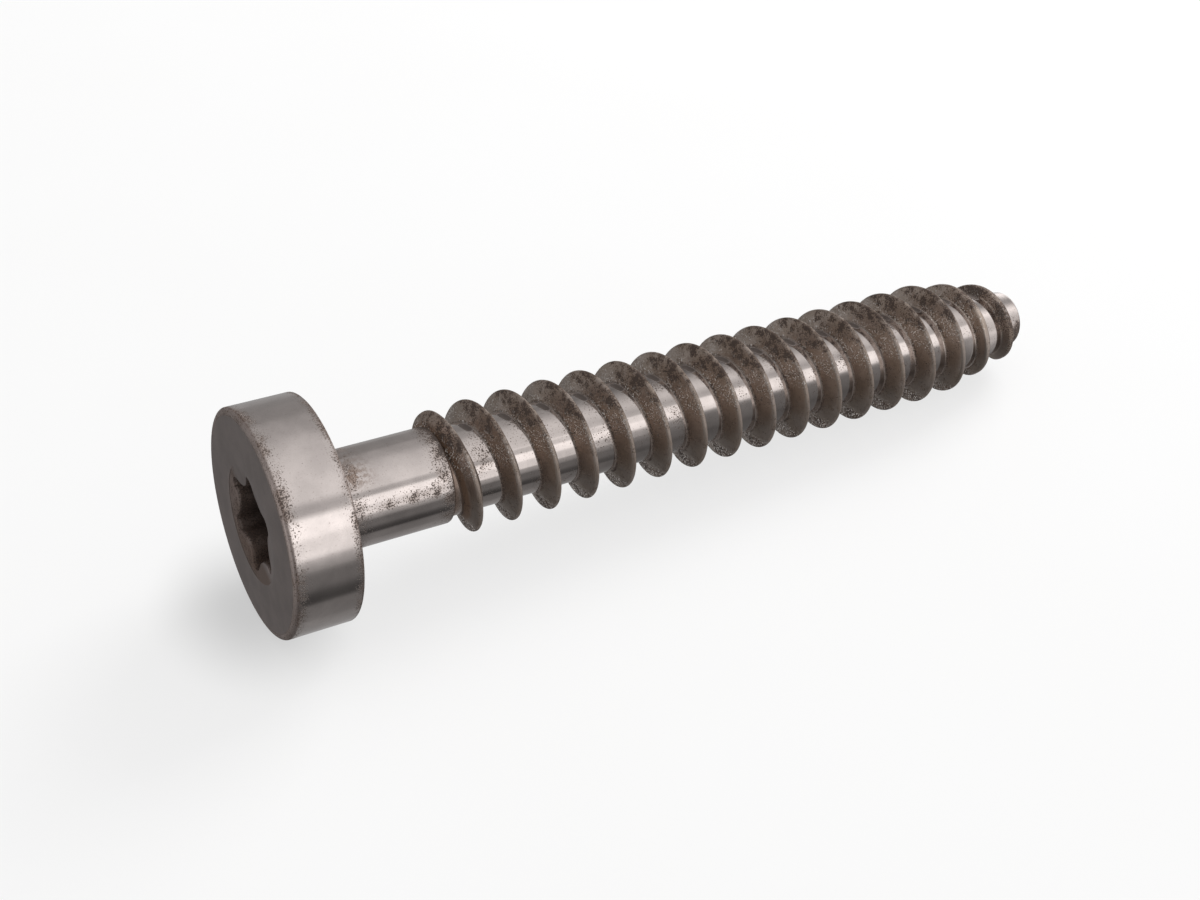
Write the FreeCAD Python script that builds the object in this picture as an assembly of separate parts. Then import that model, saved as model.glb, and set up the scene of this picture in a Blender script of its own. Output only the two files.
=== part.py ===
import FreeCAD, Part
import math
import os

# Wood screw, 7 x 50 mm: a thick flat head with a six-lobe drive recess, a short plain shank,
# a coarse right-hand thread on a slimmer core, and a short blunt tip.
# The origin is the centre of the head's underside, the face that clamps the wood. +X runs along
# the axis from the head to the tip, and +Z is up as the screw lies on its side. Sizes are in mm.
# The real screw is one piece of steel. Its five regions are separate solids that meet face to face.

# Head
HEAD_RADIUS = 6.09
HEAD_THICKNESS = 3.61
RIM_WIDTH = 0.38            # the rounded front rim, measured across the radius
RIM_DEPTH = 0.22            # and along the axis
SEAT_INNER_RADIUS = 3.75    # the underside bears on the wood outside a 7.5 mm clearance hole

# Six-lobe drive recess, size 30
LOBE_DIAMETER = 5.6         # across the tips of opposite lobes
VALLEY_DIAMETER = 4.0       # across opposite valleys
VALLEY_RADIUS = 1.19        # rounding of each valley
LOBE_COUNT = 6
LOBE_ANGLE = 147.7          # turn of one lobe about the axis, from +Y towards +Z, in degrees
RECESS_DEPTH = 2.4
DISH_RADIUS = 3.2           # the shallow round dish that leads the driver in
DISH_DEPTH = 0.15           # and its depth where it meets the valleys
RECESS_CONE_DEPTH = 0.35    # the shallow cone at the bottom

# Shank
SHANK_RADIUS = 2.66
SHANK_LENGTH = 6.6
SHANK_CHAMFER = 0.15
NECK_FILLET = 0.2           # where the shank runs into the head

# Core and tip
CORE_RADIUS = 2.38
TAPER_START = 42.0          # where the core begins to narrow
TIP_START = 44.9
TIP_END = 46.3
TIP_RADIUS = 1.68
TIP_EDGE = 0.3              # rounding of the blunt end

# Thread
THREAD_RADIUS = 3.5
PITCH = 2.328
FLANK_ANGLE = 20.0          # each flank from the plane across the axis, in degrees
CREST_WIDTH = 0.18
THREAD_DRAFT = 0.02         # the crest widens by this many degrees, a hundredth of a mm in all
ROOT_RADIUS = 1.2           # how deep the blade is swept before the core is cut away
THREAD_START = 5.6          # place of the crest at the two ends of the sweep
THREAD_END = 46.4
THREAD_START_ANGLE = -129.1
RUN_IN = (6.45, 6.93)       # the blade rises from the core to its full height between these
CREST_TAPER_START = 39.9    # where the crest begins to close in towards the tip
CREST_TAPER_END = 45.2
CREST_END_RADIUS = 2.4
FADE_END = 46.0             # the last of the blade fades into the tip by here
FADE_RADIUS = 1.6

AXIS = FreeCAD.Vector(1, 0, 0)
ORIGIN = FreeCAD.Vector(0, 0, 0)


def point(x, radius, angle=90.0):
    """A point at a distance along the axis, at a radius and an angle from +Y towards +Z."""
    turn = math.radians(angle)
    return FreeCAD.Vector(x, radius * math.cos(turn), radius * math.sin(turn))


def revolve(edges):
    """The solid that an outline in the upper XZ plane, open along the axis, sweeps round it."""
    wire = Part.Wire(edges)
    first, last = wire.OrderedVertexes[0].Point, wire.OrderedVertexes[-1].Point
    closed = Part.Wire(wire.Edges + [Part.makeLine(last, first)])
    return Part.Face(closed).revolve(ORIGIN, AXIS, 360)


def lines(*points):
    """Straight edges through points of the upper XZ plane, each an (x, radius) pair."""
    spots = [point(x, radius) for x, radius in points]
    return [Part.makeLine(a, b) for a, b in zip(spots, spots[1:])]


def quarter_arc(start, end, centre):
    """A round edge of the upper XZ plane from start to end, bulging away from the centre."""
    mid_x = centre[0] + math.sqrt(0.5) * (start[0] + end[0] - 2 * centre[0])
    mid_r = centre[1] + math.sqrt(0.5) * (start[1] + end[1] - 2 * centre[1])
    return Part.Arc(point(*start), point(mid_x, mid_r), point(*end)).toShape()


def core_radius(x):
    """The core is a plain cylinder up to its taper, which the tip carries on."""
    slope = (CORE_RADIUS - TIP_RADIUS) / (TIP_END - TAPER_START)
    return CORE_RADIUS - slope * max(0.0, x - TAPER_START)


def lobe_outline(x):
    """The six-lobe outline across the axis at x."""
    half_step = 180.0 / LOBE_COUNT
    lobe = LOBE_DIAMETER / 2
    valley_centre = VALLEY_DIAMETER / 2 + VALLEY_RADIUS
    reach = valley_centre * math.cos(math.radians(half_step))
    lobe_radius = ((lobe ** 2 + valley_centre ** 2 - 2 * lobe * reach - VALLEY_RADIUS ** 2)
                   / (2 * (VALLEY_RADIUS + lobe - reach)))
    lobe_centre = lobe - lobe_radius
    share = lobe_radius / (lobe_radius + VALLEY_RADIUS)

    def join(lobe_angle, valley_angle):
        """Where a lobe's arc meets the arc of the valley beside it."""
        a = point(x, lobe_centre, lobe_angle)
        b = point(x, valley_centre, valley_angle)
        return a + (b - a) * share

    edges = []
    for number in range(LOBE_COUNT):
        lobe_angle = LOBE_ANGLE + 2 * half_step * number
        before, after = lobe_angle - half_step, lobe_angle + half_step
        crest = point(x, lobe, lobe_angle)
        valley = point(x, VALLEY_DIAMETER / 2, after)
        start, end = join(lobe_angle, before), join(lobe_angle, after)
        next_start = join(lobe_angle + 2 * half_step, after)
        edges.append(Part.Arc(start, crest, end).toShape())
        edges.append(Part.Arc(end, valley, next_start).toShape())
    return Part.Wire(edges)


def make_recess():
    """The space that the driver goes into: a dish at the mouth, lobed walls and a cone below."""
    front = -HEAD_THICKNESS
    floor = front + RECESS_DEPTH
    valley = VALLEY_DIAMETER / 2
    walls = Part.Face(lobe_outline(front)).extrude(AXIS * RECESS_DEPTH)
    # the dish carries on past the face, so that it cuts clean through it
    dish = Part.makeCone(2 * DISH_RADIUS - valley, valley, 2 * DISH_DEPTH,
                         point(front - DISH_DEPTH, 0), AXIS)
    cone = Part.makeCone(valley, 0, RECESS_CONE_DEPTH, point(floor, 0), AXIS)
    return walls.fuse([dish, cone])


def make_head():
    """A thick disc with a rounded front rim, its recess open at the front."""
    front = -HEAD_THICKNESS
    rim = front + RIM_DEPTH
    face_radius = HEAD_RADIUS - RIM_WIDTH
    rim_middle = point(front + RIM_DEPTH * (1 - math.sqrt(0.5)),
                       face_radius + RIM_WIDTH * math.sqrt(0.5))
    edges = lines((front, 0), (front, face_radius))
    edges.append(Part.Arc(point(front, face_radius), rim_middle, point(rim, HEAD_RADIUS)).toShape())
    # the underside is two faces, so that the ring that clamps the wood is one of its own
    edges += lines((rim, HEAD_RADIUS), (0, HEAD_RADIUS), (0, SEAT_INNER_RADIUS), (0, 0))
    return revolve(edges).cut(make_recess())


def make_shank():
    """The plain round neck between the head and the thread."""
    fillet_top = SHANK_RADIUS + NECK_FILLET
    edges = lines((0, 0), (0, fillet_top))
    edges.append(quarter_arc((0, fillet_top), (NECK_FILLET, SHANK_RADIUS), (NECK_FILLET, fillet_top)))
    edges += lines((NECK_FILLET, SHANK_RADIUS), (SHANK_LENGTH - SHANK_CHAMFER, SHANK_RADIUS),
                   (SHANK_LENGTH, SHANK_RADIUS - SHANK_CHAMFER), (SHANK_LENGTH, 0))
    return revolve(edges)


def make_core():
    """The round bar that carries the thread, narrowing near its end."""
    return revolve(lines((SHANK_LENGTH, 0), (SHANK_LENGTH, CORE_RADIUS), (TAPER_START, CORE_RADIUS),
                         (TIP_START, core_radius(TIP_START)), (TIP_START, 0)))


def make_tip():
    """The short blunt end, with a rounded edge."""
    bend = TIP_END - TIP_EDGE
    edges = lines((TIP_START, 0), (TIP_START, core_radius(TIP_START)), (bend, core_radius(bend)))
    corner = (bend, core_radius(bend) - TIP_EDGE)
    edges.append(quarter_arc((bend, core_radius(bend)), (TIP_END, corner[1]), corner))
    edges += lines((TIP_END, corner[1]), (TIP_END, 0))
    return revolve(edges)


def make_thread(cores):
    """One helical blade, lowered at both ends, standing on the shank, the core and the tip."""
    slope = math.tan(math.radians(FLANK_ANGLE))
    crest_half = CREST_WIDTH / 2
    root_half = crest_half + slope * (THREAD_RADIUS - ROOT_RADIUS)
    # the helix is made standing on +Z with its first section in the XZ plane, then laid along +X
    spine = Part.makeLongHelix(PITCH, THREAD_END - THREAD_START, THREAD_RADIUS, THREAD_DRAFT)
    corners = [(ROOT_RADIUS, -root_half), (THREAD_RADIUS, -crest_half),
               (THREAD_RADIUS, crest_half), (ROOT_RADIUS, root_half), (ROOT_RADIUS, -root_half)]
    section = Part.makePolygon([FreeCAD.Vector(radius, 0, z) for radius, z in corners])
    sweep = Part.BRepOffsetAPI.MakePipeShell(Part.Wire(spine.Edges))
    sweep.setBiNormalMode(FreeCAD.Vector(0, 0, 1))
    sweep.add(section)
    sweep.build()
    sweep.makeSolid()
    blade = sweep.shape()
    blade.rotate(ORIGIN, FreeCAD.Vector(0, 1, 0), 90)
    blade.rotate(ORIGIN, AXIS, THREAD_START_ANGLE + 90)
    blade.translate(AXIS * THREAD_START)

    clear = THREAD_RADIUS + 0.2
    rise = (THREAD_RADIUS - CORE_RADIUS) / (RUN_IN[1] - RUN_IN[0])
    fall = (THREAD_RADIUS - CREST_END_RADIUS) / (CREST_TAPER_END - CREST_TAPER_START)
    start = RUN_IN[0] - (CORE_RADIUS - ROOT_RADIUS) / rise
    envelope = revolve(lines((start, 0), (start, ROOT_RADIUS), (RUN_IN[1] + 0.2 / rise, clear),
                             (CREST_TAPER_START - 0.2 / fall, clear),
                             (CREST_TAPER_END, CREST_END_RADIUS), (FADE_END, FADE_RADIUS),
                             (FADE_END, 0)))
    return blade.common(envelope).cut(cores)


def main():
    os.makedirs("parts", exist_ok=True)
    shank, core, tip = make_shank(), make_core(), make_tip()
    nodes = {"head": make_head(), "shank": shank, "core": core, "tip": tip,
             "thread": make_thread([shank, core, tip])}
    for name, shape in nodes.items():
        print(name, "valid" if shape.isValid() else "INVALID", "solids", len(shape.Solids),
              "volume %.2f" % shape.Volume)
        shape.exportStep("parts/" + name + ".step")


main()
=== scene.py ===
"""A worn steel wood screw, lying on its side on a plain pale floor under soft studio light."""
import math

import bmesh
import bpy
from mathutils import Matrix, Vector


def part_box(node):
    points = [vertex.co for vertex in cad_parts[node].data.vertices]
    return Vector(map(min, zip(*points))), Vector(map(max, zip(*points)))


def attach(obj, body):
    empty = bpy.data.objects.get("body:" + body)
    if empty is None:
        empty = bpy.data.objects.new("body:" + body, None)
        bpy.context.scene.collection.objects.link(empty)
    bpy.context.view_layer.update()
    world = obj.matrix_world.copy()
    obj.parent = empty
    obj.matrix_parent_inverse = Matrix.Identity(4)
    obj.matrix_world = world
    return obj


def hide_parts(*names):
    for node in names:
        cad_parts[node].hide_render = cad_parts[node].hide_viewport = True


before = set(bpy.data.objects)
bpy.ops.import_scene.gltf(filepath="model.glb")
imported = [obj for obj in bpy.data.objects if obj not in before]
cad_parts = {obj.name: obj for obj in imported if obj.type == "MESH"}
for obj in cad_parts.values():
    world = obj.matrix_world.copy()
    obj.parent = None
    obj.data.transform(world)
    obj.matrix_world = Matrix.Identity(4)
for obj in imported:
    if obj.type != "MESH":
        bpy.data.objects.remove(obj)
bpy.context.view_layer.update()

bl_info = {
    "name": "Worn Wood Screw",
    "version": (1, 0, 0),
    "blender": (4, 5, 0),
    "location": "3D View > Sidebar > Wood Screw",
    "description": "Models a worn steel wood screw around its packed design",
    "category": "Add Mesh",
}

MM = 0.001
AROUND = 240                # edges round every turned piece

HEAD_BOX, SHANK_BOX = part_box("head"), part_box("shank")
CORE_BOX, TIP_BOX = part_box("core"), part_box("tip")
FRONT = HEAD_BOX[0].x       # the head's front face
HEAD_RADIUS = HEAD_BOX[1].z
SHOULDER = SHANK_BOX[1].x   # where the shank ends and the thread's core begins
CORE_RADIUS = CORE_BOX[1].z
CORE_END = CORE_BOX[1].x
POINT = TIP_BOX[1].x        # the blunt end of the screw
THREAD_RADIUS = 3.5 * MM
CREST_START = 5.6 * MM      # where the design's thread starts, and its turn there from +Y towards +Z
CREST_START_ANGLE = math.radians(-129.1)


# ---------------------------------------------------------------- sizes and colours

class ScrewSizes(bpy.types.PropertyGroup):
    """Sizes that the frame doesn't give, in metres."""
    rim_width: bpy.props.FloatProperty(
        name="Rim Width", description="Rounded front rim of the head, across the radius",
        default=0.38 * MM, subtype="DISTANCE", unit="LENGTH", precision=5)
    rim_depth: bpy.props.FloatProperty(
        name="Rim Depth", description="Rounded front rim of the head, along the axis",
        default=0.22 * MM, subtype="DISTANCE", unit="LENGTH", precision=5)
    edge_wear: bpy.props.FloatProperty(
        name="Edge Wear", description="Rounding that wear has given to the head's back edge",
        default=0.12 * MM, subtype="DISTANCE", unit="LENGTH", precision=5)
    lobe_diameter: bpy.props.FloatProperty(
        name="Lobe Diameter", description="Drive recess, across the tips of opposite lobes",
        default=5.6 * MM, subtype="DISTANCE", unit="LENGTH", precision=5)
    valley_diameter: bpy.props.FloatProperty(
        name="Valley Diameter", description="Drive recess, across opposite valleys",
        default=4.0 * MM, subtype="DISTANCE", unit="LENGTH", precision=5)
    lobe_angle: bpy.props.FloatProperty(
        name="Lobe Angle", description="Turn of one lobe about the axis, from +Y towards +Z",
        default=math.radians(147.7), subtype="ANGLE", unit="ROTATION")
    recess_depth: bpy.props.FloatProperty(
        name="Recess Depth", description="Drive recess, from the front face to its floor",
        default=2.4 * MM, subtype="DISTANCE", unit="LENGTH", precision=5)
    dish_radius: bpy.props.FloatProperty(
        name="Dish Radius", description="Shallow round dish that leads into the recess",
        default=3.2 * MM, subtype="DISTANCE", unit="LENGTH", precision=5)
    dish_depth: bpy.props.FloatProperty(
        name="Dish Depth", description="Depth of the dish where it meets the valleys",
        default=0.15 * MM, subtype="DISTANCE", unit="LENGTH", precision=5)
    pitch: bpy.props.FloatProperty(
        name="Pitch", description="Advance of the thread in one turn",
        default=2.328 * MM, subtype="DISTANCE", unit="LENGTH", precision=6)
    crest_width: bpy.props.FloatProperty(
        name="Crest Width", description="Width of the thread's rounded crest",
        default=0.22 * MM, subtype="DISTANCE", unit="LENGTH", precision=5)
    root_fillet: bpy.props.FloatProperty(
        name="Root Fillet", description="Fillet between the thread and its core",
        default=0.15 * MM, subtype="DISTANCE", unit="LENGTH", precision=5)
    flank_angle: bpy.props.FloatProperty(
        name="Flank Angle", description="Each flank of the thread, from the plane across the axis",
        default=math.radians(20), subtype="ANGLE", unit="ROTATION")


class ScrewColours(bpy.types.PropertyGroup):
    """Colours of the metal and its rust."""
    bright: bpy.props.FloatVectorProperty(
        name="Bright Steel", description="Metal that rubbing has kept clean",
        default=(0.63, 0.565, 0.54), subtype="COLOR", min=0, max=1)
    # painted glints: bright specks that stand in for sparkles of light on the thread's flanks
    painted_glint: bpy.props.FloatVectorProperty(
        name="Glints", description="Tiny spots of metal rubbed quite clean",
        default=(0.85, 0.79, 0.75), subtype="COLOR", min=0, max=1)
    dull: bpy.props.FloatVectorProperty(
        name="Dull Steel", description="Metal under a thin brown patina",
        default=(0.45, 0.37, 0.315), subtype="COLOR", min=0, max=1)
    rust: bpy.props.FloatVectorProperty(
        name="Rust", description="Thin rust that stains the metal brown",
        default=(0.15, 0.085, 0.05), subtype="COLOR", min=0, max=1)
    pit: bpy.props.FloatVectorProperty(
        name="Pits", description="Dark specks where the rust has eaten in",
        default=(0.035, 0.022, 0.017), subtype="COLOR", min=0, max=1)
    face: bpy.props.FloatVectorProperty(
        name="Front Face", description="Smooth dull metal of the head's front",
        default=(0.375, 0.32, 0.305), subtype="COLOR", min=0, max=1)
    floor: bpy.props.FloatVectorProperty(
        name="Floor", description="Plain pale floor",
        default=(0.155, 0.155, 0.155), subtype="COLOR", min=0, max=1)


def sizes():
    """The sizes set in the panel."""
    return bpy.context.scene.wood_screw_sizes


def colours():
    """The colours set in the panel."""
    return bpy.context.scene.wood_screw_colours


# ---------------------------------------------------------------- modelling tools

def start_ring(name, x, radius):
    """A ring of edges round the axis at x, ready to be extruded, as a new object in edit mode."""
    bpy.ops.object.select_all(action="DESELECT")
    bpy.ops.mesh.primitive_circle_add(vertices=AROUND, radius=radius, location=(x, 0, 0),
                                      rotation=(0, math.pi / 2, 0))
    piece = bpy.context.object
    piece.name = piece.data.name = name
    bpy.ops.object.transform_apply(location=True, rotation=True, scale=True)
    bpy.ops.object.mode_set(mode="EDIT")
    bpy.ops.mesh.select_all(action="SELECT")
    return piece


def extrude_ring(x, radius, last_x, last_radius):
    """Extrudes the selected ring along the axis and opens or closes it to a new radius."""
    bpy.ops.mesh.extrude_region_move(TRANSFORM_OT_translate={"value": (x - last_x, 0, 0)})
    scale = radius / last_radius
    bpy.ops.transform.resize(value=(1, scale, scale), center_override=(x, 0, 0))


def close_ring():
    """Closes the selected ring with a fan round its centre."""
    bpy.ops.mesh.extrude_region_move()
    bpy.ops.mesh.merge(type="CENTER")


def turn(name, profile):
    """A piece turned round the axis: profile is a list of (x, radius), closed at both ends."""
    piece = start_ring(name, *profile[0])
    close_ring()
    select_ring(piece, *profile[0])
    for last, step in zip(profile, profile[1:]):
        extrude_ring(*step, *last)
    close_ring()
    finish_piece(piece)
    return piece


def select_ring(piece, x, radius):
    """Selects only the ring of vertices at x and at a radius."""
    bpy.ops.mesh.select_all(action="DESELECT")
    mesh = bmesh.from_edit_mesh(piece.data)
    near = 1e-7
    for vertex in mesh.verts:
        reach = math.hypot(vertex.co.y, vertex.co.z)
        vertex.select_set(abs(vertex.co.x - x) < near and abs(reach - radius) < near)
    mesh.select_flush(True)
    bmesh.update_edit_mesh(piece.data)


def finish_piece(piece, smooth_angle=40):
    """Leaves edit mode with every face pointing outwards and shaded smooth up to an angle."""
    bpy.ops.mesh.select_all(action="SELECT")
    bpy.ops.mesh.remove_doubles(threshold=1e-8)
    bpy.ops.mesh.normals_make_consistent(inside=False)
    bpy.ops.object.mode_set(mode="OBJECT")
    bpy.ops.object.shade_smooth_by_angle(angle=math.radians(smooth_angle))


def arc(centre, radius, start, end, steps):
    """Points (x, radius) of a round stretch of a profile, its angles in degrees from +X."""
    angles = [math.radians(start + (end - start) * step / steps) for step in range(steps + 1)]
    return [(centre[0] + radius * math.cos(a), centre[1] + radius * math.sin(a)) for a in angles]


def straight(start, end, steps):
    """Points between two points of a profile, both left out."""
    return [(start[0] + (end[0] - start[0]) * step / steps, start[1] + (end[1] - start[1]) * step / steps)
            for step in range(1, steps)]


def hand_in(piece, node, material):
    """Puts a finished piece in place of its design node and gives it its material."""
    piece.data.materials.clear()
    piece.data.materials.append(material)
    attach(piece, "root")
    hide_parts(node)


# ---------------------------------------------------------------- materials

TURNED = (4.0, 0.25, 0.25)      # marks that run round a turned side
DRAWN = (0.15, 3.0, 3.0)        # marks that run along the axis
EVEN = (1.0, 1.0, 1.0)


def colour(value):
    """A panel colour with its alpha, as a socket takes it."""
    return (*value, 1.0)


class Nodes:
    """A node tree, whose nodes are added and joined one at a time."""

    def __init__(self, tree):
        self.nodes, self.links = tree.nodes, tree.links

    def new(self, kind, inputs, **settings):
        """A node of a kind, with its settings, and its inputs set or joined."""
        node = self.nodes.new(kind)
        for key, value in settings.items():
            setattr(node, key, value)
        for key, value in inputs.items():
            if isinstance(value, bpy.types.NodeSocket):
                self.links.new(value, node.inputs[key])
            else:
                node.inputs[key].default_value = value
        return node

    def math(self, operation, first, second=0.0, clamp=False):
        """One sum on two numbers or sockets."""
        return self.new("ShaderNodeMath", {0: first, 1: second},
                        operation=operation, use_clamp=clamp).outputs[0]

    def times(self, first, second):
        return self.math("MULTIPLY", first, second)

    def plus(self, first, second):
        return self.math("ADD", first, second)

    def minus(self, first, second):
        return self.math("SUBTRACT", first, second)

    def ramp(self, value, low, high, to_low=0.0, to_high=1.0):
        """A smooth rise from one value to another as the input goes from low to high."""
        return self.new("ShaderNodeMapRange", {"Value": value, "From Min": low, "From Max": high,
                                               "To Min": to_low, "To Max": to_high},
                        interpolation_type="SMOOTHSTEP").outputs["Result"]


class Recipe(Nodes):
    """One material's nodes, with the place of each point of the screw."""

    def __init__(self, name):
        self.material = bpy.data.materials.new(name)
        self.material.use_nodes = True
        super().__init__(self.material.node_tree)
        self.shader = self.nodes["Principled BSDF"]
        self.place = self.new("ShaderNodeTexCoord", {}).outputs["Object"]
        self.along, self.across, self.level = self.new("ShaderNodeSeparateXYZ", {0: self.place}).outputs
        aside = self.vector("MULTIPLY", self.place, (0, 1, 1)).outputs[0]
        self.radius = self.vector("LENGTH", aside).outputs["Value"]

    def vector(self, operation, first, second=(0, 0, 0)):
        """One sum on two vectors."""
        return self.new("ShaderNodeVectorMath", {0: first, 1: second}, operation=operation)

    def scaled(self, paint, share):
        """A colour made lighter or darker by a share."""
        return self.new("ShaderNodeVectorMath", {0: paint, "Scale": share}, operation="SCALE").outputs[0]

    def mix(self, share, first, second):
        """A colour between two, each a colour or a socket."""
        return self.new("ShaderNodeMix", {0: share, 6: first, 7: second}, data_type="RGBA").outputs[2]

    def noise(self, scale, detail=3.0, stretch=(1, 1, 1), shift=0.0, rough=0.55):
        """Noise from 0 to 1, its scale in cells to the metre, stretched along the axes."""
        placed = self.new("ShaderNodeMapping", {"Vector": self.place, "Location": (shift, shift, shift),
                                                "Scale": stretch})
        return self.new("ShaderNodeTexNoise", {"Vector": placed.outputs[0], "Scale": scale,
                                               "Detail": detail, "Roughness": rough}).outputs["Fac"]

    def near(self, value, centre, reach):
        """1 where the value is at the centre, falling to 0 at a reach to either side."""
        gap = self.math("ABSOLUTE", self.minus(value, centre))
        return self.ramp(gap, 0.0, reach, 1.0, 0.0)

    def highest(self, *shares):
        """The highest of some shares."""
        top = shares[0]
        for share in shares[1:]:
            top = self.math("MAXIMUM", top, share)
        return top

    def feed(self, **sockets):
        """Joins values to the shader's sockets, whose names have _ for a space."""
        for name, value in sockets.items():
            self.links.new(value, self.shader.inputs[name.replace("_", " ")])


class Wear:
    """How worn one region's steel is, and where glints and shade are painted: shares and densities are
    sockets or numbers from 0 to 1.
    """

    def __init__(self, patina, rust, rough, marks, marks_depth=0.3, wave=0.03, painted_glint_density=0.0, grime_and_painted_dark=0.0,
                 brown=0.0, dull=None):
        self.patina = patina            # share of dull metal
        self.rust = rust                # density of the rust specks
        self.rough = rough
        self.marks = marks              # stretch of the tool marks
        self.marks_depth = marks_depth
        self.wave = wave                # depth of the dents that soften the reflections
        self.painted_glint_density = painted_glint_density            # density of painted glints, bright specks
        self.grime_and_painted_dark = grime_and_painted_dark              # share of black grime and of painted shade
        self.brown = brown              # share of smooth brown rust
        self.dull = dull or colours().dull


def worn_steel(recipe, wear):
    """Joins bright and dull metal, rust stains, pits, painted glints, grime with painted shade, and tool
    marks in one recipe.
    """
    tint = colours()
    rust, pit = colour(tint.rust), colour(tint.pit)
    cloud = recipe.noise(700, detail=4, shift=3.1)
    metal = recipe.mix(wear.patina, colour(tint.bright), colour(wear.dull))
    metal = recipe.scaled(metal, recipe.ramp(cloud, 0.3, 0.7, 0.90, 1.06))

    # stains are soft brown patches, and pits are small dark specks inside and around them
    spread = recipe.ramp(recipe.noise(1000, detail=4, shift=1.7, rough=0.6), 0.36, 0.66)
    crowd = recipe.times(wear.rust, recipe.plus(0.5, recipe.times(spread, 0.7)))
    stain = recipe.ramp(crowd, 0.3, 1.1)
    grains = recipe.noise(13000, detail=2, shift=0.4, rough=0.5)
    bite = recipe.plus(grains, recipe.times(crowd, 0.30))
    pits = recipe.ramp(bite, 0.735, 0.80)
    halo = recipe.ramp(bite, 0.62, 0.76)
    # painted glints: bright specks, where the glint density puts them, that stand in for sparkles of light
    painted_glints = recipe.ramp(recipe.noise(10500, detail=2, shift=7.7), 0.55, 0.66)
    painted_glints = recipe.math("MULTIPLY", painted_glints, wear.painted_glint_density, clamp=True)

    paint = recipe.mix(recipe.times(stain, 0.45), metal, rust)
    paint = recipe.mix(recipe.times(halo, 0.30), paint, rust)
    paint = recipe.mix(wear.brown, paint, rust)
    paint = recipe.mix(recipe.times(pits, 0.85), paint, pit)
    # painted glints, then black grime with painted shade, go into the colour
    paint = recipe.mix(painted_glints, paint, colour(tint.painted_glint))
    paint = recipe.mix(wear.grime_and_painted_dark, paint, pit)

    # dirt and painted shade hide the metal and make it rougher, and painted glints are made smooth
    dirt_and_painted_dark = recipe.highest(recipe.times(stain, 0.35), pits, wear.grime_and_painted_dark, recipe.times(wear.brown, 0.6))
    tool = recipe.noise(1000, detail=3, stretch=wear.marks, shift=0.9)
    uneven = recipe.times(recipe.minus(tool, 0.5), 0.10)
    rough = recipe.plus(recipe.plus(wear.rough, recipe.times(wear.patina, 0.18)), uneven)
    rough = recipe.plus(rough, recipe.times(dirt_and_painted_dark, 0.35))
    rough = recipe.math("ADD", rough, recipe.times(painted_glints, -0.24), clamp=True)

    height = recipe.minus(recipe.times(tool, wear.marks_depth), recipe.times(pits, 0.5))
    height = recipe.plus(height, recipe.times(recipe.noise(2600, shift=5.3), wear.wave))
    height = recipe.plus(height, recipe.times(painted_glints, 1.3))
    bump = recipe.new("ShaderNodeBump", {"Height": height, "Strength": 0.5, "Distance": 0.03 * MM})
    recipe.feed(Base_Color=paint, Metallic=recipe.ramp(dirt_and_painted_dark, 0.0, 1.0, 1.0, 0.15), Roughness=rough,
                Normal=bump.outputs[0])
    return recipe.material


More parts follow.
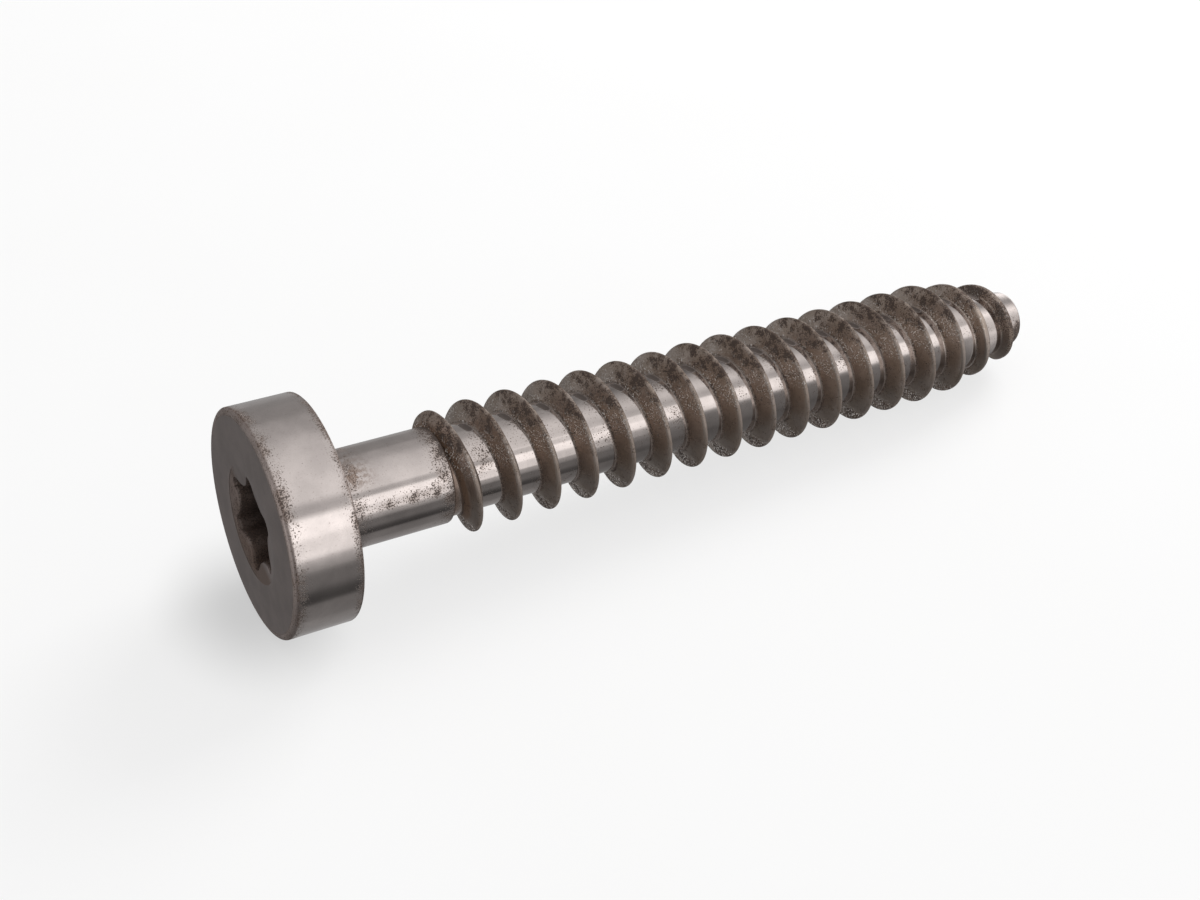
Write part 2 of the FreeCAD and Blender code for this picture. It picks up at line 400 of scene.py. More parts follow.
def head_steel():
    """Turned steel, stained along both rims, with a smoother dull front, and painted shade in its recess and
    on the far side of its dish.
    """
    recipe = Recipe("turned_head_steel")
    along, radius, level = recipe.along, recipe.radius, recipe.level
    times, ramp, near, highest = recipe.times, recipe.ramp, recipe.near, recipe.highest
    # where each part of the head is
    face = times(ramp(radius, 5.70 * MM, 5.78 * MM, 1.0, 0.0),
                 ramp(along, FRONT + 0.17 * MM, FRONT + 0.25 * MM, 1.0, 0.0))
    on_side = ramp(radius, 5.95 * MM, 6.08 * MM)
    rim_place = ramp(radius, 5.66 * MM, 5.74 * MM)
    rim = times(rim_place, ramp(along, FRONT + 0.14 * MM, FRONT + 0.30 * MM, 1.0, 0.0))
    inner = times(rim_place, near(radius, 5.72 * MM, 0.06 * MM))
    back = times(near(along, -0.02 * MM, 0.18 * MM), on_side)
    below = ramp(along, FRONT + 0.10 * MM, FRONT + 0.30 * MM)
    socket = times(ramp(radius, 3.22 * MM, 3.3 * MM, 1.0, 0.0), below)
    # painted shade darkens the lower far side of the dish, which is also rusted and browned, and its edge
    # there; the dish's low part is stained darker
    tilted = recipe.vector("DOT_PRODUCT", recipe.place, (0.0, 0.87, -0.5)).outputs["Value"]
    far_side = ramp(tilted, 0.6 * MM, 1.4 * MM)
    in_dish = ramp(radius, 3.1 * MM, 3.2 * MM, 1.0, 0.0)
    dish = times(in_dish, far_side)
    low_dish = times(in_dish, ramp(level, -1.5 * MM, -2.1 * MM))
    painted_shade_lip = times(near(radius, 3.12 * MM, 0.14 * MM), far_side)
    ring = times(painted_shade_lip, ramp(along, FRONT + 0.05 * MM, FRONT + 0.09 * MM, 0.95, 0.0))
    # the recess is worn brown near its mouth and low down, and painted shade darkens it further in, most
    # higher up
    deep = ramp(along, FRONT + 0.18 * MM, FRONT + 1.1 * MM)
    painted_shade_higher_up = ramp(level, -2.1 * MM, -1.2 * MM, 0.4, 1.0)
    painted_recess_shade = times(times(socket, deep), painted_shade_higher_up)

    front_rim = times(near(along, FRONT + 0.25 * MM, 0.85 * MM), 0.85)
    back_rim = times(near(along, -0.05 * MM, 0.7 * MM), 0.85)
    side = times(highest(front_rim, back_rim), on_side)
    patina = highest(face, times(rim, 0.7), times(back, 0.5), times(socket, 0.9))
    rust = highest(side, times(socket, 1.1), times(dish, 0.7), times(rim, 0.55))
    brown = highest(times(rim, 0.22), times(back, 0.35), times(socket, 0.45), times(dish, 0.35),
                    times(low_dish, 0.6))
    # painted shade in the recess, on the far side of the dish and along its edge, with a dark line inside the
    # rim and a low stain in the dish
    grime_and_painted_dark = highest(times(painted_recess_shade, 0.9), ring, times(inner, 0.5), times(dish, 0.42), times(low_dish, 0.42))
    rough = recipe.plus(times(highest(face, times(rim, 2.5)), 0.08), 0.15)
    return worn_steel(recipe, Wear(patina, rust, rough, DRAWN, marks_depth=0.06, wave=0.02, grime_and_painted_dark=grime_and_painted_dark,
                                   brown=brown, dull=colours().face))


def shank_steel():
    """Drawn steel with rust at both ends, specks along its side and a smudge beside the head."""
    recipe = Recipe("drawn_shank_steel")
    along, level = recipe.along, recipe.level
    times, ramp, near = recipe.times, recipe.ramp, recipe.near
    patina = times(near(along, 0.0, 0.9 * MM), 0.4)
    neck = times(near(along, 1.2 * MM, 1.4 * MM), 0.6)
    shoulder = times(near(along, SHOULDER, 1.5 * MM), 1.25)
    middle = times(near(level, 0.95 * MM, 0.75 * MM), ramp(along, 1.8 * MM, 4.0 * MM, 0.5, 1.1))
    rust = recipe.highest(neck, shoulder, middle)
    smudge = times(near(along, 1.5 * MM, 1.5 * MM), near(level, 2.3 * MM, 0.6 * MM))
    broken = ramp(recipe.noise(4200, detail=4, shift=6.1), 0.40, 0.56, 0.1, 1.3)
    edge = ramp(along, SHOULDER - 0.15 * MM, SHOULDER, 0.0, 0.8)
    brown = recipe.highest(times(times(smudge, broken), 0.58), edge)
    return worn_steel(recipe, Wear(patina, rust, 0.14, DRAWN, marks_depth=0.06, wave=0.02, brown=brown))


def core_steel():
    """Steel that the wood has polished, with a painted dark reflection of the thread on top of each turn."""
    recipe = Recipe("polished_core_steel")
    times, ramp, near = recipe.times, recipe.ramp, recipe.near
    pitch = sizes().pitch
    patina = times(recipe.noise(300, shift=2.0), 0.12)
    rust = times(ramp(recipe.noise(450, shift=8.0), 0.4, 0.65), 0.55)
    brown = times(ramp(recipe.along, SHOULDER + 0.1 * MM, SHOULDER + 0.9 * MM, 1.0, 0.0), 0.8)
    # the painted dark reflection sits in the corner behind the thread, at a share of the way from one crest
    # to the next
    angle = recipe.math("ARCTAN2", recipe.level, recipe.across)
    turns = recipe.minus(recipe.math("DIVIDE", recipe.along, pitch), recipe.math("DIVIDE", angle, math.tau))
    crest = CREST_START / pitch - CREST_START_ANGLE / math.tau
    part = recipe.math("FRACT", recipe.minus(turns, crest))
    corner = times(near(part, 0.65, 0.16), near(angle, math.radians(83), 0.32))
    grime_and_painted_dark = times(ramp(corner, 0.05, 0.35), 0.9)
    return worn_steel(recipe, Wear(patina, rust, 0.07, TURNED, marks_depth=0.05, wave=0.015, brown=brown,
                                   grime_and_painted_dark=grime_and_painted_dark))


def thread_steel():
    """Rolled steel under a brown patina, with painted glints on its flanks, a painted floor reflection low
    down, and rust on top and below.
    """
    recipe = Recipe("rolled_thread_steel")
    along, radius, level = recipe.along, recipe.radius, recipe.level
    times, ramp, near, highest = recipe.times, recipe.ramp, recipe.near, recipe.highest
    # towards the tip the crest and the core close in, and the patina with them
    tapered = ramp(along, 42.6 * MM, 43.4 * MM)
    patina = highest(ramp(radius, 2.36 * MM, 2.40 * MM), tapered)
    grey = ramp(recipe.noise(800, detail=3, shift=5.9), 0.38, 0.62, 1.0, 0.72)
    patina = times(patina, grey)

    patches = ramp(recipe.noise(2400, detail=4, shift=2.2), 0.38, 0.62)
    tops = times(ramp(level, 2.1 * MM, 2.8 * MM), ramp(patches, 0.0, 1.0, 0.7, 1.35))
    low = ramp(level, -1.9 * MM, -2.3 * MM, 0.15, 1.15)
    roots = near(radius, 2.45 * MM, 0.14 * MM)
    last_turn = times(ramp(along, 42.2 * MM, 43.0 * MM), ramp(level, 0.2 * MM, 1.0 * MM))
    rust = highest(tops, low, roots, times(patches, 0.55), times(last_turn, 1.2))

    # painted glints: bright specks at mid height, where light catches the flanks, and low down a painted
    # reflection of the floor
    middle = near(level, 2.0 * MM, 1.0 * MM)
    bottom = times(ramp(level, -1.7 * MM, -2.2 * MM), 1.3)
    painted_glint_density = times(highest(middle, bottom),
                   ramp(recipe.noise(1900, detail=2, shift=4.4), 0.34, 0.48, 0.2, 1.3))
    painted_glint_density = times(painted_glint_density, ramp(along, 41.5 * MM, 43.0 * MM, 1.0, 0.25))
    worn_crest = times(ramp(radius, 3.36 * MM, 3.45 * MM), 0.35)
    corner = times(near(radius, 2.40 * MM, 0.06 * MM), ramp(along, 34 * MM, 40 * MM, 0.7, 0.0))

    first_turn = ramp(along, 7.3 * MM, 8.4 * MM, 1.0, 0.0)
    brown = times(first_turn, ramp(radius, 2.7 * MM, 3.1 * MM, 0.9, 0.1))
    brown = highest(brown, times(recipe.noise(600, detail=3, shift=9.3), 0.12))
    return worn_steel(recipe, Wear(patina, rust, 0.20, EVEN, marks_depth=0.05, wave=0.22, painted_glint_density=painted_glint_density,
                                   brown=brown, grime_and_painted_dark=highest(worn_crest, corner)))


def tip_steel():
    """Cut steel with turned marks, browner below."""
    recipe = Recipe("cut_tip_steel")
    times, ramp = recipe.times, recipe.ramp
    patina = times(recipe.noise(600, shift=2.0), 0.1)
    rust = ramp(recipe.level, 0.2 * MM, 1.3 * MM, 1.2, 0.2)
    low = ramp(recipe.level, -0.2 * MM, 1.1 * MM, 0.6, 0.0)
    brown = times(low, ramp(recipe.noise(3500, shift=1.2), 0.40, 0.60, 0.3, 1.0))
    return worn_steel(recipe, Wear(patina, rust, 0.20, TURNED, marks_depth=0.6, brown=brown))


# ---------------------------------------------------------------- the head

def lobe_radius_at(angle, growth):
    """Distance from the axis to the wall of the drive recess at an angle, widened by growth."""
    half_step = math.pi / 6
    lobe, valley = sizes().lobe_diameter / 2, sizes().valley_diameter / 2
    valley_round = 1.19 * MM
    valley_centre = valley + valley_round
    reach = valley_centre * math.cos(half_step)
    lobe_round = ((lobe ** 2 + valley_centre ** 2 - 2 * lobe * reach - valley_round ** 2)
                  / (2 * (valley_round + lobe - reach)))
    lobe_centre = lobe - lobe_round
    # fold the angle into half a lobe, measured from the lobe's tip
    turned = (angle - sizes().lobe_angle + half_step) % (2 * half_step) - half_step
    turned = abs(turned)
    joint = math.atan2(valley_centre * math.sin(half_step) * lobe_round,
                       lobe_centre * valley_round + reach * lobe_round)
    if turned <= joint:
        centre, rounding, side = lobe_centre, lobe_round + growth, 1
    else:
        centre, rounding, side = valley_centre, valley_round - growth, -1
        turned = half_step - turned
    along, across = centre * math.cos(turned), centre * math.sin(turned)
    return along + side * math.sqrt(max(rounding ** 2 - across ** 2, 0.0))


def lobed_ring(piece, growth, depth):
    """Sets the selected ring on the recess outline, at a depth below the face or the dish."""
    dish, valley = sizes().dish_radius, sizes().valley_diameter / 2
    deepest = 0.4 * MM
    mesh = bmesh.from_edit_mesh(piece.data)
    for vertex in mesh.verts:
        if vertex.select:
            angle = math.atan2(vertex.co.z, vertex.co.y)
            radius = lobe_radius_at(angle, growth)
            sunk = sizes().dish_depth * (dish - radius) / (dish - valley)
            vertex.co = (FRONT + max(depth, min(sunk + depth, deepest)),
                         radius * math.cos(angle), radius * math.sin(angle))
    bmesh.update_edit_mesh(piece.data)


def round_ring(piece, x, radius):
    """Sets the selected ring on a circle round the axis at x."""
    mesh = bmesh.from_edit_mesh(piece.data)
    for vertex in mesh.verts:
        if vertex.select:
            angle = math.atan2(vertex.co.z, vertex.co.y)
            vertex.co = (x, radius * math.cos(angle), radius * math.sin(angle))
    bmesh.update_edit_mesh(piece.data)


def model_head():
    """The head: its drive recess, flat front, rounded rim, turned side and underside."""
    s = sizes()
    face_radius = HEAD_RADIUS - s.rim_width
    piece = start_ring("head_body", FRONT, face_radius)
    # outside, from the flat front round the rim and along the side to the underside
    rim = [(FRONT + s.rim_depth * (1 - math.cos(a)), face_radius + s.rim_width * math.sin(a))
           for a in (math.radians(9 * step) for step in range(11))]
    worn = arc((-s.edge_wear, HEAD_RADIUS - s.edge_wear), s.edge_wear, 90, 0, 6)
    outside = rim + straight(rim[-1], worn[0], 12) + worn + [(0, 4.5 * MM), (0, 2.9 * MM), (0, 1.5 * MM)]
    for last, step in zip(outside, outside[1:]):
        extrude_ring(*step, *last)
    close_ring()
    # inside, from the flat front to the mouth of the recess, down its walls and across its floor
    select_ring(piece, FRONT, face_radius)
    last = (FRONT, face_radius)
    for radius in (5.0 * MM, 4.0 * MM, s.dish_radius + 0.04 * MM):
        extrude_ring(FRONT, radius, *last)
        last = (FRONT, radius)
    extrude_ring(FRONT + 0.004 * MM, s.dish_radius, *last)
    # growth and depth of each ring, from the edge that the dish leaves to the bottom of the walls
    deep = s.recess_depth
    steps = [(0.05 * MM, 0.0), (0.015 * MM, 0.015 * MM), (0.0, 0.05 * MM), (0.0, 0.3 * MM), (0.0, 0.5 * deep),
             (0.0, deep - 0.2 * MM), (-0.05 * MM, deep - 0.05 * MM), (-0.2 * MM, deep)]
    for growth, depth in steps:
        bpy.ops.mesh.extrude_region_move()
        lobed_ring(piece, growth, depth)
    for radius, depth in ((1.3 * MM, deep + 0.12 * MM), (0.2 * MM, deep + 0.33 * MM)):
        bpy.ops.mesh.extrude_region_move()
        round_ring(piece, FRONT + depth, radius)
    close_ring()
    finish_piece(piece, 35)
    return piece


# ---------------------------------------------------------------- shank, core and tip

def core_radius(x):
    """The core is a plain cylinder until it narrows towards the tip."""
    taper_start, end_radius = 42.0 * MM, 1.68 * MM
    slope = (CORE_RADIUS - end_radius) / (POINT - taper_start)
    return CORE_RADIUS - slope * max(0.0, x - taper_start)


def model_shank():
    """The plain neck, filleted into the head and rounded off at its shoulder."""
    radius, fillet, shoulder = 2.66 * MM, 0.2 * MM, 0.14 * MM
    neck = arc((fillet, radius + fillet), fillet, 180, 270, 6)
    end = arc((SHOULDER - shoulder, radius - shoulder), shoulder, 90, 0, 6)
    profile = [(-0.1 * MM, 1.2 * MM), (-0.1 * MM, neck[0][1])] + neck + straight(neck[-1], end[0], 20) + end
    return turn("shank_body", profile + [(SHOULDER, 1.2 * MM)])


def model_core():
    """The round bar under the thread."""
    start, steps = SHOULDER - 0.2 * MM, 120
    side = [(x, core_radius(x)) for x in
            (start + (CORE_END - start) * step / steps for step in range(steps + 1))]
    return turn("core_bar", [(start, 1.0 * MM)] + side + [(CORE_END, 1.0 * MM)])


def model_tip():
    """The short blunt end with a rounded edge."""
    edge = 0.3 * MM
    bend = POINT - edge
    side = [(x, core_radius(x)) for x in
            (CORE_END + (bend - CORE_END) * step / 8 for step in range(8))]
    end = arc((bend, core_radius(bend) - edge), edge, 90, 0, 8)
    return turn("tip_point", [(CORE_END, 0.8 * MM)] + side + end + [(POINT, 0.7 * MM), (POINT, 0.2 * MM)])


# ---------------------------------------------------------------- the thread

def blade_outline(height, crest_half):
    """Half the thread's section from its crest down: (offset along the axis, height above the core)."""
    tilt, fillet = sizes().flank_angle, sizes().root_fillet
    foot_height = fillet * (1 - math.sin(tilt))
    rounding = min(crest_half / (1 / math.cos(tilt) - math.tan(tilt)), 0.18 * MM,
                   0.95 * (height - foot_height) / (1 - math.sin(tilt)))
    flat = crest_half - rounding * (1 / math.cos(tilt) - math.tan(tilt))
    top = height - rounding
    crest_turn = math.pi / 2 - tilt
    outline = [(flat + rounding * math.sin(a), top + rounding * math.cos(a))
               for a in (crest_turn * step / 7 for step in range(8))]
    edge = outline[-1]
    foot = (edge[0] + (edge[1] - foot_height) * math.tan(tilt), foot_height)
    middle = (foot[0] + fillet * math.cos(tilt), fillet)
    outline += straight(edge, foot, 6) + [foot]
    outline += [(middle[0] - fillet * math.cos(a), middle[1] - fillet * math.sin(a))
                for a in (tilt + (math.pi / 2 - tilt) * step / 6 for step in range(1, 7))]
    return outline + [(middle[0] + 0.02 * MM, -0.05 * MM), (middle[0], -0.3 * MM)]


def crest_radius(x):
    """Distance of the thread's crest from the axis, where the crest is at x."""
    rise_start, rise_end = 6.48 * MM, 6.92 * MM
    fall_start, fall_end, fall_radius = 39.9 * MM, 45.2 * MM, 2.4 * MM
    fade_end = 45.75 * MM
    if x < rise_end:
        share = max(0.0, (x - rise_start) / (rise_end - rise_start))
        return CORE_RADIUS + (THREAD_RADIUS - CORE_RADIUS) * math.sin(share * math.pi / 2)
    fallen = min(1.0, max(0.0, (x - fall_start) / (fall_end - fall_start)))
    crest = THREAD_RADIUS + (fall_radius - THREAD_RADIUS) * fallen
    faded = min(1.0, max(0.0, (x - fall_end) / (fade_end - fall_end)))
    return crest + (core_radius(x) - crest) * faded * faded * (3 - 2 * faded)


def blade_section(crest_x):
    """The whole section where the crest is at x: lower blades are wider, and low ones fade away."""
    least = 0.35 * MM
    height = crest_radius(crest_x) - core_radius(crest_x)
    crest_half = (sizes().crest_width / 2
                  + (THREAD_RADIUS - crest_radius(crest_x)) * math.tan(sizes().flank_angle))
    crest_half = min(crest_half, 0.20 * MM)
    share = min(1.0, height / least)
    narrow = 0.4 + 0.6 * share
    half = [(offset * narrow, level * share if level > 0 else level)
            for offset, level in blade_outline(max(height, least), crest_half)]
    return half[::-1] + [(-offset, level) for offset, level in half[1:]]


def model_thread():
    """The right-hand thread: its section is swept by a screw modifier, then lowered at both ends."""
    start, end = 5.9 * MM, 45.8 * MM
    start_angle = CREST_START_ANGLE + math.tau * (start - CREST_START) / sizes().pitch
    outline = blade_section(20 * MM)
    bpy.ops.object.select_all(action="DESELECT")
    bpy.ops.mesh.primitive_circle_add(vertices=len(outline), radius=THREAD_RADIUS)
    piece = bpy.context.object
    piece.name = piece.data.name = "thread_blade"
    for vertex, (offset, level) in zip(piece.data.vertices, outline):
        vertex.co = (CORE_RADIUS + level, 0, offset)
    turns = (end - start) / sizes().pitch
    whole = math.ceil(turns)
    screw = piece.modifiers.new("Screw", "SCREW")
    screw.angle = math.tau * turns / whole
    screw.screw_offset = (end - start) / whole
    screw.iterations = whole
    screw.steps = screw.render_steps = 96
    screw.use_normal_calculate = True
    bpy.ops.object.modifier_apply(modifier=screw.name)

    vertices, count = piece.data.vertices, len(outline)
    rings = len(vertices) // count
    for ring in range(rings):
        travel = (end - start) * ring / (rings - 1)
        first = vertices[ring * count].co
        turned = math.atan2(first.y, first.x)
        for place, (offset, level) in enumerate(blade_section(start + travel)):
            radius = core_radius(start + travel + offset) + level
            vertices[ring * count + place].co = (radius * math.cos(turned), radius * math.sin(turned),
                                                 travel + offset)

    piece.matrix_world = (Matrix.Translation((start, 0, 0)) @ Matrix.Rotation(start_angle, 4, "X")
                          @ Matrix.Rotation(math.pi / 2, 4, "X") @ Matrix.Rotation(math.pi / 2, 4, "Y"))
    bpy.ops.object.transform_apply(location=True, rotation=True, scale=True)
    bpy.ops.object.mode_set(mode="EDIT")
    bpy.ops.mesh.select_all(action="DESELECT")
    bpy.ops.mesh.select_non_manifold()
    bpy.ops.mesh.edge_face_add()
    finish_piece(piece, 60)
    return piece


# ---------------------------------------------------------------- operators

class SCREW_OT_head(bpy.types.Operator):
    """Model the head with its six-lobe drive recess"""
    bl_idname = "wood_screw.head"
    bl_label = "Head"

    def execute(self, context):
        hand_in(model_head(), "head", head_steel())
        return {"FINISHED"}


class SCREW_OT_shank(bpy.types.Operator):
    """Model the plain shank between the head and the thread"""
    bl_idname = "wood_screw.shank"
    bl_label = "Shank"

    def execute(self, context):
        hand_in(model_shank(), "shank", shank_steel())
        return {"FINISHED"}


class SCREW_OT_core(bpy.types.Operator):
    """Model the bar that carries the thread"""
    bl_idname = "wood_screw.core"
    bl_label = "Core"

    def execute(self, context):
        hand_in(model_core(), "core", core_steel())
        return {"FINISHED"}


class SCREW_OT_thread(bpy.types.Operator):
    """Model the coarse right-hand thread"""
    bl_idname = "wood_screw.thread"
    bl_label = "Thread"

    def execute(self, context):
        hand_in(model_thread(), "thread", thread_steel())
        return {"FINISHED"}


class SCREW_OT_tip(bpy.types.Operator):
    """Model the short blunt tip"""
    bl_idname = "wood_screw.tip"
    bl_label = "Tip"

    def execute(self, context):
        hand_in(model_tip(), "tip", tip_steel())
        return {"FINISHED"}


class SCREW_OT_stage(bpy.types.Operator):
    """Set up the floor, the soft light and the camera"""
    bl_idname = "wood_screw.stage"
    bl_label = "Stage"

    def execute(self, context):
        make_floor()
        make_surroundings()
        make_lights()
        make_camera()
        return {"FINISHED"}


# ---------------------------------------------------------------- the stage

def floor_slope():
    """The floor rises towards the tip as far as the thread, because the screw lies on its head's rim."""
    thread = bpy.data.objects["thread_blade"].data
    return min((vertex.co.z + HEAD_RADIUS) / vertex.co.x for vertex in thread.vertices
               if vertex.co.x > 10 * MM)


def make_floor():
    """A wide pale floor under the screw, as it lies on the rim of its head and on its thread."""
    size, glow, deepest_painted_shadow = 4.0, 0.73, 0.72
    bpy.ops.object.select_all(action="DESELECT")
    bpy.ops.mesh.primitive_plane_add(size=size)
    floor = bpy.context.object
    floor.name = "floor"
    bpy.ops.object.mode_set(mode="EDIT")
    bpy.ops.mesh.subdivide(number_cuts=20)
    bpy.ops.object.mode_set(mode="OBJECT")
    floor.rotation_euler = (0, -math.atan(floor_slope()), 0)
    floor.location = (0, 0, -HEAD_RADIUS)
    floor.visible_glossy = False
    recipe = Recipe("pale_floor")
    mottle = recipe.ramp(recipe.noise(40, detail=2), 0.3, 0.7)
    paint = recipe.mix(mottle, colour(colours().floor), (0.152, 0.151, 0.150, 1))
    # a painted shadow darkens the floor's colour and glow, deepest in front of the head
    gap = recipe.vector("SUBTRACT", recipe.place, (-3.6 * MM, 1.2 * MM, 0.0)).outputs[0]
    gap = recipe.vector("MULTIPLY", gap, (1.4, 1.0, 1.0)).outputs[0]
    gap = recipe.vector("LENGTH", gap).outputs["Value"]
    painted_shadow = recipe.ramp(gap, 0.5 * MM, 8.0 * MM, deepest_painted_shadow, 1.0)
    recipe.feed(Base_Color=recipe.scaled(paint, painted_shadow), Emission_Strength=recipe.times(painted_shadow, glow))
    recipe.shader.inputs["Roughness"].default_value = 0.9
    recipe.shader.inputs["Specular IOR Level"].default_value = 0.1
    recipe.shader.inputs["Emission Color"].default_value = (1, 1, 1, 1)
    floor.data.materials.append(recipe.material)


class Studio(Nodes):
    """The world's nodes: a brightness for every direction in the screw's frame."""

    def __init__(self):
        world = bpy.data.worlds.new("studio")
        bpy.context.scene.world = world
        world.use_nodes = True
        super().__init__(world.node_tree)
        self.way = self.new("ShaderNodeTexCoord", {}).outputs["Generated"]
        self.x, self.y, self.z = self.new("ShaderNodeSeparateXYZ", {0: self.way}).outputs
        self.glow = self.nodes["Background"]
        self.out = self.nodes["World Output"]

    def bands(self, degrees, *stretches):
        """Brightness along an angle from -180 to 180 degrees, in stretches of (degrees, brightness)."""
        node = self.new("ShaderNodeValToRGB", {0: self.math("DIVIDE", self.plus(degrees, 180.0), 360.0)})
        stops = sorted(stop for stretch in stretches for stop in stretch)
        elements = node.color_ramp.elements
        while len(elements) < len(stops):
            elements.new(0.5)
        for element, (place, value) in zip(elements, stops):
            element.position = (place + 180) / 360
            element.color = (value, value, value, 1)
        return node.outputs[0]

    def blend(self, share, first, second):
        """A brightness that goes from the first to the second as the share goes from 0 to 1."""
        rest = self.times(first, self.minus(1.0, share))
        return self.plus(rest, self.times(second, share))

    def spot(self, direction, inner, outer, brightness):
        """A round soft light in a direction, with its full and its outer radius in degrees."""
        aim = Vector(direction).normalized()
        node = self.new("ShaderNodeVectorMath", {0: self.way, 1: aim}, operation="DOT_PRODUCT")
        return self.ramp(node.outputs["Value"], math.cos(math.radians(outer)),
                         math.cos(math.radians(inner)), 0.0, brightness)


def make_surroundings():
    """A studio of strip lights that run along the screw, darker in front of its head."""
    studio = Studio()
    # degrees up from the horizon in front of the screw, over the top and down behind it
    lift = studio.math("DEGREES", studio.math("ARCTAN2", studio.z, studio.times(studio.y, -1.0)))
    azimuth = studio.math("DEGREES", studio.math("ARCSINE", studio.x))
    # The head, the core and the tip mirror the studio at about 17, 32 and 50 degrees towards the tip,
    # and the head's front and the thread's flanks mirror what is in front of the head. Each line is
    # a stretch of one of the four: floor behind, floor in front, strip in front, overhead, wall behind.
    near_head = studio.bands(
        lift,
        ((-180, .38), (-160, .38), (-140, .40), (-127, .42), (-117, .34), (-105, .30), (-90, .28)),
        ((-84, .22), (-62, .20), (-58, .05), (-48, .08), (-38, .19), (-24, .17), (-19, .40), (-10, .58)),
        ((-7, 1.3), (10, 1.22), (14, 1.55), (30, 1.5)),
        ((33, .56), (43, .60), (46, 1.0), (66, .93), (92, .80), (102, .74)),
        ((110, .64), (118, .53), (137, .46), (143, .34), (160, .31)))
    near_core = studio.bands(
        lift,
        ((-180, .36), (-150, .34), (-127, .28), (-110, .14)),
        ((-50, .12), (-37, .16), (-2, .22), (6, .34)),
        ((11, .70), (14, 1.15), (28, 1.45), (46, 1.35)),
        ((50, .72), (60, .60), (68, .72), (80, .88), (91, .82)),
        ((104, .62), (118, .46), (135, .24), (150, .16), (168, .26)))
    near_tip = studio.bands(
        lift,
        ((-180, 1.3), (-150, .50), (-120, .16), (-96, .26)),
        ((-63, .45), (-45, .65), (-27, .75)),
        ((-8, 1.0), (12, .75), (32, .85)),
        ((52, 1.05), (72, 1.6), (91, .93)),
        ((108, .42), (128, .42), (146, 1.0), (163, 1.6)))
    near_face = studio.bands(
        lift,
        ((-180, .44), (-174, .40), (-165, .24), (-140, .165), (-120, .12)),
        ((-60, .10), (-10, .18)),
        ((0, .5), (40, .6)),
        ((90, .6),),
        ((130, .45), (160, .42)))
    light = studio.blend(studio.ramp(azimuth, -12, 4), near_face, near_head)
    light = studio.blend(studio.ramp(azimuth, 20.5, 30), light, near_core)
    light = studio.blend(studio.ramp(azimuth, 36, 46), light, near_tip)
    # two soft lights in front of the head, which the thread's flanks catch
    light = studio.plus(light, studio.spot((-.96, .26, -.12), 3, 12, 2.0))
    light = studio.plus(light, studio.spot((-.93, .13, -.35), 6, 25, 0.9))
    studio.links.new(light, studio.glow.inputs["Color"])
    # the camera itself sees a plain pale room
    plain = studio.new("ShaderNodeBackground", {"Color": (0.96, 0.96, 0.96, 1)})
    seen = studio.new("ShaderNodeLightPath", {}).outputs["Is Camera Ray"]
    choice = studio.new("ShaderNodeMixShader", {0: seen, 1: studio.glow.outputs[0], 2: plain.outputs[0]})
    studio.links.new(choice.outputs[0], studio.out.inputs[0])


def soft_light(name, place, size, power):
    """A square soft light, aimed at the screw and not mirrored in it."""
    middle = Vector((20 * MM, 0, -3 * MM))
    lamp = bpy.data.lights.new(name, "AREA")
    lamp.shape, lamp.size, lamp.energy = "SQUARE", size, power
    light = bpy.data.objects.new(name, lamp)
    bpy.context.scene.collection.objects.link(light)
    light.location = place
    light.rotation_mode = "QUATERNION"
    light.rotation_quaternion = (middle - Vector(place)).to_track_quat("-Z", "Y")
    light.visible_glossy = False


def make_lights():
    """Large soft lights that light the floor and give the faint shadow."""
    soft_light("back_softbox", (0.27, 0.12, 0.22), 0.20, 1.6)
    soft_light("top_softbox", (0.0, -0.05, 0.45), 0.6, 0.7)


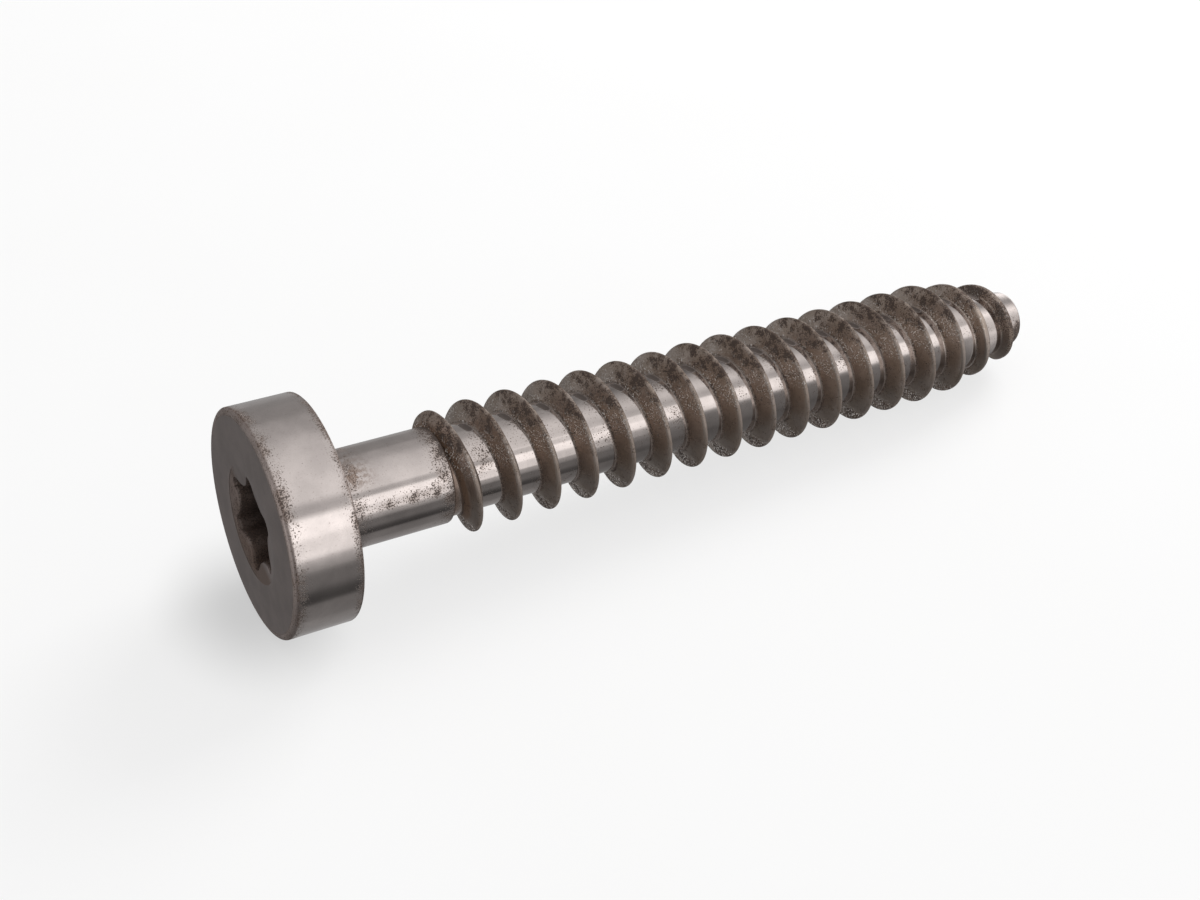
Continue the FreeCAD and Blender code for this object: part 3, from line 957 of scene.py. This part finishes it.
def make_camera():
    """A 50 mm lens that looks down at the screw from the head's side."""
    place = Vector((-24.22, -65.13, 52.11)) * MM
    target = Vector((16.826, 0.0, -1.449)) * MM
    slope = floor_slope()
    lens = bpy.data.cameras.new("camera")
    lens.lens, lens.sensor_width = 50, 36
    lens.clip_start, lens.clip_end = 0.005, 20
    camera = bpy.data.objects.new("camera", lens)
    bpy.context.scene.collection.objects.link(camera)
    back = (place - target).normalized()
    right = Vector((-slope, 0, 1)).cross(back).normalized()
    up = back.cross(right)
    turned = Matrix((right, up, back)).transposed()
    camera.matrix_world = Matrix.Translation(place) @ turned.to_4x4()
    bpy.context.scene.camera = camera
    bpy.context.scene.view_settings.view_transform = "Standard"


# ---------------------------------------------------------------- panel and registration

class SCREW_PT_panel(bpy.types.Panel):
    """Lists the parts of the screw and their sizes and colours"""
    bl_idname = "SCREW_PT_panel"
    bl_label = "Wood Screw"
    bl_space_type = "VIEW_3D"
    bl_region_type = "UI"
    bl_category = "Wood Screw"

    def draw(self, context):
        for operator in OPERATORS:
            self.layout.operator(operator.bl_idname)
        for group in (sizes(), colours()):
            box = self.layout.box()
            for name in group.__annotations__:
                box.prop(group, name)


OPERATORS = (SCREW_OT_head, SCREW_OT_shank, SCREW_OT_core, SCREW_OT_thread, SCREW_OT_tip, SCREW_OT_stage)
CLASSES = (ScrewSizes, ScrewColours, *OPERATORS, SCREW_PT_panel)


def register():
    """Makes the classes and the panel's settings known to Blender."""
    for each in CLASSES:
        bpy.utils.register_class(each)
    bpy.types.Scene.wood_screw_sizes = bpy.props.PointerProperty(type=ScrewSizes)
    bpy.types.Scene.wood_screw_colours = bpy.props.PointerProperty(type=ScrewColours)


def unregister():
    """Takes away what register has added."""
    del bpy.types.Scene.wood_screw_colours
    del bpy.types.Scene.wood_screw_sizes
    for each in reversed(CLASSES):
        bpy.utils.unregister_class(each)


def main():
    """Models the screw and its stage."""
    register()
    bpy.ops.wood_screw.head()
    bpy.ops.wood_screw.shank()
    bpy.ops.wood_screw.core()
    bpy.ops.wood_screw.thread()
    bpy.ops.wood_screw.tip()
    bpy.ops.wood_screw.stage()


if __name__ == "__main__":
    main()
